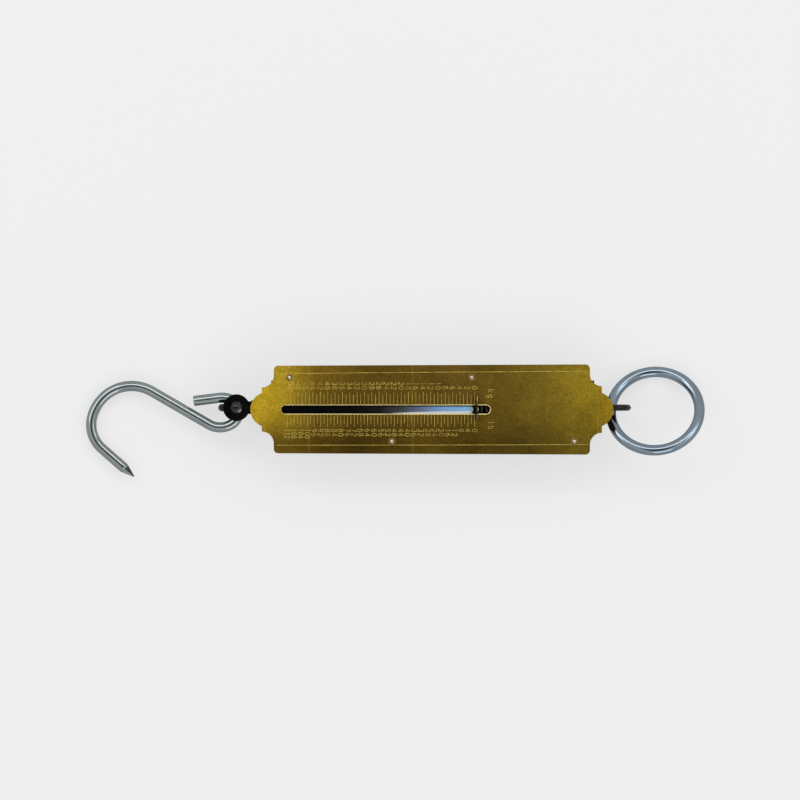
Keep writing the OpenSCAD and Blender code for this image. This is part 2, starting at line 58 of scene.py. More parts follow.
# Sizes taken over from the part's source, in millimetres and degrees
FACE_TOP = 27.5
AXIS_Y = 1.0
AXIS_Z = 13.65
ZERO_X = 23.6
KG_STEP = 2.025
CAPACITY_KG = 50
SLOT_FROM = -83.05
SLOT_TO = 32.2
SLOT_HALF = 2.35
SPRING_FROM = 20.5
SPRING_TO = 77.0
SPRING_WIRE = 2.62
SPRING_MEAN = 18.2
SPRING_PITCH = 3.2
HOOK_NOSE = (-106.8, -1.8, 11.5)
HOOK_DROP = 6.00919
HOOK_WIRE = 5.7
TIP_LENGTH = 7.4
RIVETS = ((-78.5, 17.6), (22.0, 17.6), (-22.0, -17.6), (78.5, -17.6))


# Materials: colours are linear, and lengths inside a node are in metres

# Most values of a noise texture lie between these two
NOISE_LOW = 0.3
NOISE_HIGH = 0.7


def set_stops(ramp, stops):
    """Gives a colour ramp its stops, each a place and a colour; a single number is a grey."""
    while len(ramp.elements) < len(stops):
        ramp.elements.new(0.5)
    for element, (place, colour) in zip(ramp.elements, stops):
        if isinstance(colour, (int, float)):
            colour = (colour, colour, colour)
        element.position = place
        element.color = (*colour, 1.0)


def scaled(colour, factor):
    return tuple(min(1.0, channel * factor) for channel in colour)


class Mat:
    """A node material built in a few lines: one principled shader with its inputs worked out in nodes.

    The colour and roughness given at the start stand wherever no node is linked to them."""

    def __init__(self, name, colour, metallic, roughness):
        self.mat = bpy.data.materials.new(name)
        self.mat.use_nodes = True
        self.tree = self.mat.node_tree
        self.nodes = self.tree.nodes
        self.bsdf = self.nodes["Principled BSDF"]
        self.set("Base Color", (*colour, 1.0))
        self.set("Metallic", metallic)
        self.set("Roughness", roughness)

    def set(self, socket, value):
        self.bsdf.inputs[socket].default_value = value

    def link(self, a, b):
        self.tree.links.new(a, b)

    def into(self, output, socket):
        self.link(output, self.bsdf.inputs[socket])

    def node(self, kind, **values):
        n = self.nodes.new(kind)
        for key, value in values.items():
            setattr(n, key, value)
        return n

    def coords(self, scale=(1, 1, 1)):
        """Places on the object itself, in metres times scale, so that nothing slides in another view."""
        tex = self.node("ShaderNodeTexCoord")
        mapping = self.node("ShaderNodeMapping")
        mapping.inputs["Scale"].default_value = scale
        self.link(tex.outputs["Object"], mapping.inputs["Vector"])
        return mapping.outputs["Vector"]

    def axis(self, vector, which):
        split = self.node("ShaderNodeSeparateXYZ")
        self.link(vector, split.inputs[0])
        return split.outputs[which]

    def noise(self, vector, scale, detail=4.0, rough=0.5):
        n = self.node("ShaderNodeTexNoise")
        n.inputs["Scale"].default_value = scale
        n.inputs["Detail"].default_value = detail
        n.inputs["Roughness"].default_value = rough
        self.link(vector, n.inputs["Vector"])
        return n.outputs["Fac"]

    def ramp(self, value, stops):
        n = self.node("ShaderNodeValToRGB")
        set_stops(n.color_ramp, stops)
        self.link(value, n.inputs["Fac"])
        return n.outputs["Color"]

    def span(self, value, low, high, to_low=0.0, to_high=1.0):
        """Carries low..high over to to_low..to_high and holds still beyond."""
        n = self.node("ShaderNodeMapRange")
        for key, number in (("From Min", low), ("From Max", high), ("To Min", to_low), ("To Max", to_high)):
            n.inputs[key].default_value = number
        self.link(value, n.inputs["Value"])
        return n.outputs["Result"]

    def between(self, noise, low, high):
        """A number that wanders from low to high with the noise."""
        return self.span(noise, NOISE_LOW, NOISE_HIGH, low, high)

    def math(self, how, a, b):
        n = self.node("ShaderNodeMath", operation=how)
        for socket, value in zip(n.inputs, (a, b)):
            if isinstance(value, (int, float)):
                socket.default_value = value
            else:
                self.link(value, socket)
        return n.outputs[0]

    def mix(self, fac, a, b, how="MIX"):
        n = self.node("ShaderNodeMix", data_type="RGBA", blend_type=how)
        for socket, value in ((n.inputs["Factor"], fac), (n.inputs["A"], a), (n.inputs["B"], b)):
            if isinstance(value, tuple):
                socket.default_value = (*value, 1.0)
            elif isinstance(value, (int, float)):
                socket.default_value = value
            else:
                self.link(value, socket)
        return n.outputs["Result"]

    def mottled(self, colour, noise, dark, light, low=NOISE_LOW, high=NOISE_HIGH):
        """The colour times a grey that goes from dark to light with the noise."""
        return self.mix(1.0, colour, self.ramp(noise, [(low, dark), (high, light)]), "MULTIPLY")

    def bump(self, height, strength, distance):
        n = self.node("ShaderNodeBump")
        n.inputs["Strength"].default_value = strength
        n.inputs["Distance"].default_value = distance
        self.link(height, n.inputs["Height"])
        self.link(n.outputs["Normal"], self.bsdf.inputs["Normal"])


# Depth of the finest grain and of coarser unevenness
FINE_RELIEF = 0.00003
COARSE_RELIEF = 0.00005

# Half the face's length, and the half width over which its tarnish and painted reflection change from the lower
# side to the upper
FACE_REACH = 0.1
TARNISH_AND_SHEEN_REACH = 0.02
# Places along the face of faint lines, and how far each fades
FAINT_LINES = (-0.0677, -0.0106, 0.0916)
FAINT_LINE_FADE = 0.0005


def brass_face():
    """Thin rolled brass: brighter gold towards both ends and darker brown along the middle and the lower side,
    partly tarnish and partly painted reflection; fine grain across the plate."""
    m = Mat("face_brass", (0.42, 0.28, 0.04), 1.0, 0.42)
    place = m.coords()
    # Partly tarnish, partly painted reflection: bright towards both ends, dark along the middle, and the upper
    # side painted brighter than the lower
    along = m.span(m.axis(place, "X"), -FACE_REACH, FACE_REACH)
    upper = m.ramp(along, [
        (0.0, (0.66, 0.44, 0.022)), (0.1, (0.52, 0.35, 0.026)),
        (0.18, (0.245, 0.145, 0.015)), (0.3, (0.150, 0.087, 0.012)),
        (0.6, (0.165, 0.098, 0.015)), (0.8, (0.235, 0.157, 0.018)),
        (0.95, (0.36, 0.245, 0.020)), (1.0, (0.43, 0.26, 0.013))])
    lower = m.ramp(along, [
        (0.0, (0.26, 0.165, 0.015)), (0.1, (0.165, 0.099, 0.011)),
        (0.28, (0.072, 0.042, 0.006)), (0.5, (0.125, 0.074, 0.009)),
        (0.62, (0.098, 0.060, 0.008)), (0.78, (0.105, 0.069, 0.010)),
        (0.95, (0.215, 0.145, 0.015))])
    across = m.span(m.axis(place, "Y"), -TARNISH_AND_SHEEN_REACH, TARNISH_AND_SHEEN_REACH)
    rise = m.ramp(across, [(0.05, 0.0), (0.35, 0.55), (0.58, 0.8), (0.9, 1.0)])
    colour = m.mix(rise, lower, upper)
    grain = m.noise(m.coords((1.0, 0.08, 1.0)), 5200.0, 3.0, 0.6)
    blotch = m.noise(place, 60.0, 5.0, 0.62)
    speckle = m.noise(place, 2200.0, 2.0, 0.5)
    mottle = m.noise(place, 700.0, 3.0, 0.7)
    colour = m.mottled(colour, grain, 0.86, 1.15)
    colour = m.mottled(colour, blotch, 0.88, 1.12)
    colour = m.mottled(colour, speckle, 0.78, 1.22, 0.35, 0.68)
    colour = m.mottled(colour, mottle, 0.86, 1.14, 0.35, 0.68)
    # Faint lighter lines across the plate
    for line_x in FAINT_LINES:
        away = m.math("ABSOLUTE", m.math("SUBTRACT", m.axis(place, "X"), line_x), 0.0)
        line = m.ramp(m.span(away, 0.0, FAINT_LINE_FADE), [(0.3, 0.15), (1.0, 0.0)])
        colour = m.mix(line, colour, (0.62, 0.44, 0.06))
    m.into(colour, "Base Color")
    m.into(m.math("ADD", m.between(grain, 0.38, 0.48), m.between(blotch, -0.03, 0.04)), "Roughness")
    m.bump(grain, 0.1, FINE_RELIEF)
    return m.mat


# Height above the face of the point that a rivet head's painted highlight and rings are measured from, in
# millimetres
RIVET_MIDDLE = 0.7
# How far the painted highlight and rings reach from there, and how uneven the rings are
RIVET_REACH = 0.0024
RIVET_WOBBLE = 0.00015


def rivet_brass():
    """Set rivet heads with light and shade painted on: a painted highlight in the middle of the dimple, a
    painted dark reflection round it, a painted pale ring and a darker edge.
    """
    m = Mat("rivet_brass", (0.5, 0.35, 0.08), 1.0, 0.26)
    place = m.coords()
    nearest = None
    for cx, cy in RIVETS:
        offset = m.node("ShaderNodeVectorMath", operation="DISTANCE")
        m.link(place, offset.inputs[0])
        offset.inputs[1].default_value = (cx * MM, cy * MM, (FACE_TOP + RIVET_MIDDLE) * MM)
        away = offset.outputs["Value"]
        nearest = away if nearest is None else m.math("MINIMUM", nearest, away)
    wobble = m.between(m.noise(place, 1500.0, 3.0, 0.6), -RIVET_WOBBLE, RIVET_WOBBLE)
    # Light and shade painted on: a highlight in the middle, a dark reflection round it, a pale ring and a
    # darker edge
    shade = m.ramp(m.span(m.math("ADD", nearest, wobble), 0.0, RIVET_REACH), [
        (0.0, (1.0, 0.95, 0.80)), (0.2, (0.95, 0.85, 0.60)), (0.36, (0.16, 0.11, 0.05)),
        (0.62, (0.10, 0.065, 0.025)), (0.8, (0.34, 0.25, 0.10)), (1.0, (0.06, 0.04, 0.018))])
    m.into(shade, "Base Color")
    m.bump(m.noise(place, 900.0), 0.05, FINE_RELIEF)
    return m.mat


# The stretch of X over which the pointer's cross-bar changes colour, and how far it does so either way in Y
POINTER_X = (0.0241, 0.0253)
POINTER_REACH = 0.006


def pointer_steel():
    """The pointer's cross-bar with light and shade painted on: above the slot a painted highlight on its ring
    side beside painted shade on its hook side, and over the slot and below it painted dark shade, a little
    lighter on the ring side."""
    m = Mat("pointer_steel", (0.3, 0.25, 0.15), 1.0, 0.3)
    place = m.coords()
    # Painted highlight along the ring side of the bar above the slot, painted shade along its hook side
    line = m.ramp(m.span(m.axis(place, "X"), *POINTER_X), [
        (0.5, (0.03, 0.022, 0.01)), (0.62, (0.62, 0.46, 0.14)),
        (0.85, (0.55, 0.40, 0.12)), (1.0, (0.16, 0.11, 0.03))])
    # Painted shade over the slot and below it, a little lighter on the ring side
    low = m.ramp(m.span(m.axis(place, "X"), *POINTER_X), [
        (0.45, (0.035, 0.028, 0.014)), (0.7, (0.17, 0.12, 0.04))])
    over = m.ramp(m.span(m.axis(place, "Y"), -POINTER_REACH, POINTER_REACH), [(0.68, 0.0), (0.72, 1.0)])
    colour = m.mix(over, low, line)
    colour = m.mottled(colour, m.noise(place, 1800.0), 0.85, 1.15)
    m.into(colour, "Base Color")
    m.bump(m.noise(place, 1200.0), 0.05, FINE_RELIEF)
    return m.mat


def metal(name, colour, rough, noise_scale, vary, stretch=(1, 1, 1), bump=0.05,
          dark=None, dark_share=0.0):
    """Plain or plated metal with uneven polish, fine scratches and, if dark is given, stains in that colour."""
    m = Mat(name, colour, 1.0, sum(rough) / 2)
    broad = m.noise(m.coords(), noise_scale * 0.12, 4.0, 0.6)
    fine = m.noise(m.coords(stretch), noise_scale, 4.0, 0.6)
    shade = m.ramp(broad, [(NOISE_LOW, scaled(colour, 1 - vary)), (NOISE_HIGH, scaled(colour, 1 + vary))])
    if dark is not None:
        stain = m.ramp(fine, [(0.62 - dark_share, 1.0), (0.7 - dark_share * 0.5, 0.0)])
        shade = m.mix(stain, shade, dark)
    m.into(shade, "Base Color")
    m.into(m.between(fine, *rough), "Roughness")
    m.bump(fine, bump, COARSE_RELIEF)
    return m.mat


def zinc(name, colour):
    """Bright zinc plate, greyer where it is seen edge on, with fine grain and cloudy patches."""
    m = Mat(name, colour, 1.0, 0.2)
    place = m.coords()
    cloud = m.noise(place, 70.0, 5.0, 0.62)
    grain = m.noise(place, 1400.0, 3.0, 0.6)
    shade = m.ramp(cloud, [(NOISE_LOW, scaled(colour, 0.86)), (NOISE_HIGH, scaled(colour, 1.12))])
    m.into(m.mottled(shade, grain, 0.92, 1.06), "Base Color")
    m.into(m.math("ADD", m.between(cloud, 0.08, 0.14), m.between(grain, 0.0, 0.05)), "Roughness")
    m.set("Specular Tint", (0.42, 0.46, 0.48, 1.0))
    m.bump(grain, 0.05, FINE_RELIEF)
    return m.mat


def lacquer(name, colour, rough, coat, worn=None, shine=0.5):
    """Black lacquer or oxide: faint orange-peel, uneven gloss and rubbed places where worn is given."""
    m = Mat(name, colour, 0.0, sum(rough) / 2)
    place = m.coords()
    peel = m.noise(place, 900.0, 3.0, 0.5)
    smudge = m.noise(place, 120.0, 4.0, 0.6)
    shade = m.ramp(smudge, [(NOISE_LOW, scaled(colour, 0.75)), (NOISE_HIGH, scaled(colour, 1.35))])
    if worn is not None:
        rub = m.ramp(m.noise(place, 260.0, 5.0, 0.7), [(0.6, 0.0), (0.72, 1.0)])
        shade = m.mix(rub, shade, worn)
        m.into(m.math("MULTIPLY", rub, 0.8), "Metallic")
    m.into(shade, "Base Color")
    m.into(m.between(smudge, *rough), "Roughness")
    m.set("Specular IOR Level", shine)
    m.set("Coat Weight", coat)
    m.set("Coat Roughness", 0.2)
    m.bump(peel, 0.08, COARSE_RELIEF)
    return m.mat


def strip_steel():
    """Blued steel strip with a painted reflection running from black at the hook end through blue to pale at
    the pointer."""
    m = Mat("strip_blued", (0.4, 0.5, 0.62), 1.0, 0.12)
    place = m.coords()
    x = m.axis(place, "X")
    y = m.axis(place, "Y")
    wander = m.noise(m.coords((0.3, 1, 1)), 60.0, 3.0, 0.5)
    along = m.math("ADD", m.span(x, -0.1, 0.025), m.between(wander, -0.015, 0.015))
    # Blue steel with a painted reflection: black towards the hook end, blue and then pale towards the pointer
    blue_and_reflection = m.ramp(along, [
        (0.0, (0.004, 0.004, 0.004)), (0.45, (0.006, 0.006, 0.006)), (0.57, (0.016, 0.016, 0.016)),
        (0.66, (0.075, 0.078, 0.085)), (0.74, (0.17, 0.22, 0.33)), (0.84, (0.28, 0.50, 0.85)),
        (0.97, (0.34, 0.68, 1.0)), (1.0, (0.34, 0.68, 1.0))])
    # A painted reflection, a bright wedge, widens along the lower edge towards the pointer
    edge = m.math("MULTIPLY", m.span(y, 0.0, -0.0018), m.span(x, -0.055, 0.022))
    colour = m.mix(m.ramp(edge, [(0.4, 0.0), (0.55, 1.0)]), blue_and_reflection, (1.0, 1.0, 1.0))
    # Painted shadow along the upper edge, under the slot's edge, and in the bend before the pointer
    painted_shadow = m.math("MAXIMUM", m.span(y, 0.00155, 0.00175), m.span(x, 0.0220, 0.0223))
    colour = m.mix(painted_shadow, colour, (0.006, 0.006, 0.006))
    m.into(colour, "Base Color")
    scratch = m.noise(m.coords((0.05, 1, 1)), 3000.0, 3.0, 0.6)
    m.into(m.between(scratch, 0.36, 0.46), "Roughness")
    m.bump(scratch, 0.05, FINE_RELIEF)
    return m.mat


MATERIALS = {
    "face": brass_face(),
    "rivet": rivet_brass(),
    "mark": metal("mark_gold", (0.96, 0.62, 0.14), (0.34, 0.48), 1500.0, 0.45, bump=0.1),
    # The slot's rim is bright gold as a painted highlight
    "rim": metal("rim_gold_highlight", (0.88, 0.71, 0.33), (0.2, 0.34), 900.0, 0.2),
    "case": lacquer("case_black", (0.011, 0.011, 0.012), (0.32, 0.5), 0.25),
    "steel": metal("plain_steel", (0.50, 0.51, 0.52), (0.22, 0.4), 600.0, 0.15, (0.15, 1, 1), bump=0.08),
    "spring": metal("spring_steel", (0.30, 0.29, 0.28), (0.2, 0.38), 500.0, 0.25, bump=0.08,
                    dark=(0.06, 0.045, 0.035), dark_share=0.08),
    "bush": metal("bush_brass", (0.55, 0.40, 0.14), (0.2, 0.34), 500.0, 0.15),
    "strip": strip_steel(),
    "pointer": pointer_steel(),
    "eye": lacquer("eye_black", (0.006, 0.005, 0.0045), (0.24, 0.40), 0.0, (0.075, 0.06, 0.05), 0.2),
    "disc": lacquer("disc_black", (0.0012, 0.0012, 0.0012), (0.34, 0.5), 0.0, shine=0.04),
    "screw": lacquer("screw_black", (0.006, 0.006, 0.006), (0.2, 0.34), 0.0, (0.42, 0.43, 0.43), 0.4),
    "zinc_hook": zinc("zinc_hook", (0.255, 0.285, 0.285)),
    "zinc_ring": zinc("zinc_ring", (0.215, 0.265, 0.31)),
}

NODE_MATERIALS = {
    "face_plate": "face", "face_rivets": "rivet", "case": "case", "hook_end_plate": "case",
    "ring_end_plate": "case", "case_rivets": "case", "guide_bush": "bush", "spring_anchor": "steel",
    "spring": "spring", "spring_plug": "steel", "rod_nut": "steel", "draw_rod": "steel", "hook_eye": "eye",
    "pointer_strip": "strip", "strip_post": "eye", "strip_rivet": "steel", "pointer": "pointer",
    "pointer_rivet": "steel", "adjusting_disc": "disc", "disc_screw": "screw", "s_hook": "zinc_hook",
    "ring_eye": "eye", "ring_washer": "steel", "ring_nut": "steel", "suspension_ring": "zinc_ring",
}
for node_name, key in NODE_MATERIALS.items():
    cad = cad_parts[node_name]
    cad.data.materials.clear()
    cad.data.materials.append(MATERIALS[key])

# The sheared edge of the plate is slightly rounded, so that it catches a thin line of light
edge_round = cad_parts["face_plate"].modifiers.new("edge_round", "BEVEL")
edge_round.width = 0.22 * MM
edge_round.segments = 2
edge_round.limit_method = "ANGLE"
edge_round.angle_limit = math.radians(50)


# Mesh helpers: all their lengths are in millimetres

def new_object(name, verts, faces, material, body, smooth=True):
    mesh = bpy.data.meshes.new(name)
    mesh.from_pydata([Vector(v) * MM for v in verts], [], faces)
    mesh.update()
    outward = bmesh.new()
    outward.from_mesh(mesh)
    bmesh.ops.recalc_face_normals(outward, faces=outward.faces)
    outward.to_mesh(mesh)
    outward.free()
    for polygon in mesh.polygons:
        polygon.use_smooth = smooth
    mesh.materials.append(MATERIALS[material])
    obj = bpy.data.objects.new(name, mesh)
    bpy.context.scene.collection.objects.link(obj)
    if body:
        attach(obj, body)
    return obj


# The section of a wire, by the power that shapes it
ROUND = 2.0
DIAMOND = 1.0


def tube(points, sections, sides, ups):
    """A closed tube along the points; each section is a radius and a power, and ups gives each ring's upward
    direction."""
    verts, faces = [], []
    count = len(points)
    for i, p in enumerate(points):
        t = (points[min(count - 1, i + 1)] - points[max(0, i - 1)]).normalized()
        up = (ups[i] - t * ups[i].dot(t)).normalized()
        side = t.cross(up)
        radius, power = sections[i]
        for k in range(sides):
            c, s = math.cos(2 * math.pi * k / sides), math.sin(2 * math.pi * k / sides)
            reach = (abs(c) ** power + abs(s) ** power) ** (-1 / power)
            verts.append(p + side * (radius * reach * c) + up * (radius * reach * s))
    for i in range(count - 1):
        for k in range(sides):
            n = (k + 1) % sides
            faces.append((i * sides + k, i * sides + n, (i + 1) * sides + n, (i + 1) * sides + k))
    faces.append(tuple(range(sides)))
    faces.append(tuple((count - 1) * sides + k for k in range(sides)))
    return verts, faces


# How far stamped lines stand above the face and reach into it
MARK_LIFT = 0.035
MARK_ROOT = 0.05
# Share of its half width by which a stroke's top draws in, and by which its ends reach on
MARK_SLOPE = 0.25
MARK_END = 0.6
# A mitre at a sharp corner is no longer than the half width over this
MITRE_LEAST = 0.45
TINY = 1e-9


class Sheet:
    """Collects the thin raised strokes that stand for stamped lines on the face."""

    def __init__(self):
        self.verts = []
        self.faces = []

    def stroke(self, points, width):
        """A flat stroke with mitred corners and sloping sides along points on the face."""
        half = width / 2
        pts = [Vector((p[0], p[1])) for p in points]
        n = len(pts)
        left, right = [], []
        for i in range(n):
            d1 = pts[i] - pts[max(0, i - 1)]
            d2 = pts[min(n - 1, i + 1)] - pts[i]
            if d1.length < TINY:
                d1 = d2
            if d2.length < TINY:
                d2 = d1
            d1.normalize()
            d2.normalize()
            n1 = Vector((-d1.y, d1.x))
            m = n1 + Vector((-d2.y, d2.x))
            m.normalize()
            reach = half / max(MITRE_LEAST, m.dot(n1))
            left.append(pts[i] + m * reach)
            right.append(pts[i] - m * reach)
        for i, out in ((0, (pts[0] - pts[1]).normalized()), (n - 1, (pts[-1] - pts[-2]).normalized())):
            left[i] = left[i] + out * half * MARK_END
            right[i] = right[i] + out * half * MARK_END
        top, root = FACE_TOP + MARK_LIFT, FACE_TOP - MARK_ROOT
        base = len(self.verts)
        for lft, rgt in zip(left, right):
            mid = (lft + rgt) / 2
            corners = ((lft, root, 0.0), (lft, top, MARK_SLOPE), (rgt, top, MARK_SLOPE), (rgt, root, 0.0))
            for q, z, pull in corners:
                w = q + (mid - q) * pull
                self.verts.append((w.x, w.y, z))
        for i in range(n - 1):
            a = base + 4 * i
            b = base + 4 * (i + 1)
            for k in range(3):
                self.faces.append((a + k, b + k, b + k + 1, a + k + 1))
            self.faces.append((a + 3, b + 3, b, a))
        last = base + 4 * (n - 1)
        self.faces.append((base, base + 1, base + 2, base + 3))
        self.faces.append((last + 3, last + 2, last + 1, last))

    def build(self, name):
        new_object(name, self.verts, self.faces, "mark", "case", smooth=False)


# Markings on the face

def bow(cx, cy, rx, ry, a0, a1, steps):
    return [(cx + rx * math.cos(math.radians(a0 + (a1 - a0) * i / steps)),
             cy + ry * math.sin(math.radians(a0 + (a1 - a0) * i / steps))) for i in range(steps + 1)]


# Each letter and numeral as strokes in a box 1 wide and 1 high
GLYPHS = {
    "0": [bow(0.5, 0.5, 0.4, 0.5, 90, 450, 16)],
    "1": [[(0.3, 0.82), (0.55, 1.0), (0.55, 0.0)]],
    "2": [bow(0.5, 0.72, 0.36, 0.28, 165, -35, 8) + [(0.12, 0.0), (0.9, 0.0)]],
    "3": [bow(0.48, 0.74, 0.34, 0.26, 150, -80, 8), bow(0.48, 0.27, 0.38, 0.27, 85, -150, 8)],
    "4": [[(0.68, 0.0), (0.68, 1.0), (0.08, 0.3), (0.95, 0.3)]],
    "5": [[(0.82, 1.0), (0.25, 1.0), (0.2, 0.56)] + bow(0.48, 0.32, 0.38, 0.32, 130, -150, 9)],
    "6": [bow(0.85, 0.35, 0.75, 0.65, 105, 175, 6) + bow(0.5, 0.3, 0.38, 0.3, 180, 540, 14)],
    "7": [[(0.1, 1.0), (0.88, 1.0), (0.38, 0.0)]],
    "8": [bow(0.5, 0.75, 0.3, 0.25, -90, 270, 12), bow(0.5, 0.26, 0.38, 0.26, 90, 450, 14)],
    "9": [bow(0.5, 0.7, 0.36, 0.3, 0, 360, 14), bow(0.12, 0.65, 0.75, 0.65, 0, -75, 6)],
    "k": [[(0.2, 1.0), (0.2, 0.0)], [(0.78, 0.64), (0.2, 0.24)], [(0.4, 0.38), (0.82, 0.0)]],
    "g": [bow(0.48, 0.35, 0.32, 0.3, 0, 360, 12),
          [(0.8, 0.64), (0.8, -0.08)] + bow(0.48, -0.08, 0.32, 0.22, 0, -150, 6)],
    "l": [[(0.5, 1.0), (0.5, 0.0)]],
    "b": [[(0.2, 1.0), (0.2, 0.0)], bow(0.5, 0.31, 0.31, 0.31, 0, 360, 12)],
}
# Three figures in a row are set narrower and closer
LONG_WIDE = 0.85
LONG_PITCH = 0.8


def write(sheet, text, x, y, high, wide, pitch, width, jitter=0.0):
    """Letters stacked down the plate, each turned a quarter so that it reads with the ring at the top."""
    dx = random.uniform(-jitter, jitter)
    dy = random.uniform(-jitter, jitter)
    if len(text) > 2:
        wide, pitch = wide * LONG_WIDE, pitch * LONG_PITCH
    for i, letter in enumerate(text):
        for path in GLYPHS[letter]:
            placed = [(x + dx - high / 2 + high * py, y + dy - i * pitch - wide * px) for px, py in path]
            sheet.stroke(placed, width)


# The pound scale, which the source doesn't hold: the length of one pound, and the last mark
LB_STEP = 1.8435 / 2
LAST_LB = 112
# Where a scale line starts, counted from the slot's middle, its width, and how uneven the lines' ends are
LINE_FROM = 2.9
LINE_WIDTH = 0.22
LINE_UNEVEN = 0.12
NUMERALS = {"high": 2.8, "wide": 1.9, "pitch": 2.35, "width": 0.26, "jitter": 0.06}


def scale_lines(name, marks, step, side, long_each, long_to, short_to):
    """Lines out from the slot, on the side that is 1 for above it and -1 for below."""
    lines = Sheet()
    for mark in marks:
        x = ZERO_X - mark * step
        end = side * (long_to if mark % long_each == 0 else short_to)
        lines.stroke([(x, side * LINE_FROM), (x, end + random.uniform(-LINE_UNEVEN, LINE_UNEVEN))], LINE_WIDTH)
    lines.build(name)


def scale_numbers(name, marks, step, single_top, top):
    """Numbers beside the lines; one of a single figure starts at single_top."""
    numbers = Sheet()
    for mark in marks:
        text = str(mark)
        write(numbers, text, ZERO_X - mark * step, top if len(text) > 1 else single_top, **NUMERALS)
    numbers.build(name)


def unit_marks():
    units = Sheet()
    write(units, "kg", 32.6, 11.4, 3.2, 2.2, 3.0, 0.3)
    write(units, "lb", 32.6, -6.2, 3.2, 2.0, 2.7, 0.3)
    units.build("unit_marks")


def border_lines():
    """Two long rules set slightly askew, as on the real plate."""
    lines = Sheet()
    lines.stroke([(-84.6, 19.7), (-40.0, 20.2), (10.0, 20.6), (60.0, 20.9), (85.6, 21.0)], 0.3)
    lines.stroke([(-85.4, -19.7), (-20.0, -19.6), (40.0, -19.5), (86.0, -19.3)], 0.3)
    lines.build("border_lines")


scale_lines("scale_lines_kg", range(CAPACITY_KG + 1), KG_STEP, 1, 2, 9.6, 8.4)
scale_lines("scale_lines_lb", range(0, LAST_LB + 1, 2), LB_STEP, -1, 4, 9.4, 7.9)
scale_numbers("scale_numbers_kg", range(0, CAPACITY_KG + 1, 2), KG_STEP, 12.9, 15.2)
scale_numbers("scale_numbers_lb", range(0, LAST_LB + 1, 4), LB_STEP, -10.6, -10.6)
unit_marks()
border_lines()


# The slot's rim in section: how far out from the slot's edge, and how high above the face
RIM_SECTION = ((0.52, 0.0), (0.30, 0.05), (0.02, 0.02), (-0.06, -0.2), (-0.02, -0.45))
RIM_STEPS = 14
RIM_THICKNESS = 0.03
# The rim stays narrow along the slot's upper edge up to here, just beyond the pointer at rest, where painted
# shade lies along that edge
NARROW_TO = 25


def rim_share(x, y):
    """The share of its full width that the bright rim, a painted highlight, has at a place: least round the
    hook end and less along the upper edge, standing in for shade there.
    """
    if x < SLOT_FROM + SLOT_HALF:
        return 0.25
    return 0.55 if y > 0 and x < NARROW_TO else 0.85


def slot_rim():
    """The slot's rounded edge, coloured bright as a painted highlight."""
    ring_end, hook_end = SLOT_TO - SLOT_HALF, SLOT_FROM + SLOT_HALF
    angles = [math.pi * i / RIM_STEPS for i in range(RIM_STEPS + 1)]
    path = [(ring_end + SLOT_HALF * math.sin(a), SLOT_HALF * math.cos(a)) for a in angles]
    path += [(hook_end - SLOT_HALF * math.sin(a), -SLOT_HALF * math.cos(a)) for a in angles]
    n = len(path)
    verts, faces = [], []
    for i, (x, y) in enumerate(path):
        before, after = path[i - 1], path[(i + 1) % n]
        t = Vector((after[0] - before[0], after[1] - before[1])).normalized()
        out = Vector((-t.y, t.x))
        if out.dot(Vector((x - max(hook_end, min(ring_end, x)), y))) < 0:
            out = -out
        for push, rise in RIM_SECTION:
            if push > 0:
                push *= rim_share(x, y)
            verts.append((x + out.x * push, y + out.y * push, FACE_TOP + rise))
    rows = len(RIM_SECTION)
    for i in range(n):
        a, b = i * rows, ((i + 1) % n) * rows
        for k in range(rows - 1):
            faces.append((a + k, b + k, b + k + 1, a + k + 1))
    rim = new_object("slot_rim", verts, faces, "rim", "case")
    thick = rim.modifiers.new("thick", "SOLIDIFY")
    thick.thickness = RIM_THICKNESS * MM
    thick.offset = -1


slot_rim()


# A rivet's collar in section: the radius, and how high above the face
COLLAR_SECTION = ((1.95, -0.03), (2.03, 0.05), (2.13, 0.07), (2.22, 0.04), (2.28, -0.03))
COLLAR_SIDES = 40


def rivet_collars():
    """The thin raised ring that the setting tool pressed round each rivet."""
    verts, faces = [], []
    rows = len(COLLAR_SECTION)
    for cx, cy in RIVETS:
        base = len(verts)
        for k in range(COLLAR_SIDES):
            angle = 2 * math.pi * k / COLLAR_SIDES
            for r, z in COLLAR_SECTION:
                verts.append((cx + r * math.cos(angle), cy + r * math.sin(angle), FACE_TOP + z))
        for k in range(COLLAR_SIDES):
            a, b = base + k * rows, base + ((k + 1) % COLLAR_SIDES) * rows
            for j in range(rows):
                faces.append((a + j, b + j, b + (j + 1) % rows, a + (j + 1) % rows))
    new_object("rivet_collars", verts, faces, "face", "case")


rivet_collars()


SPRING_RINGS = 40
SPRING_SIDES = 14
LEAD_RINGS = 5
# The wire's flat ends stop this far short of the plug and the anchor
SPRING_CLEAR = 0.05


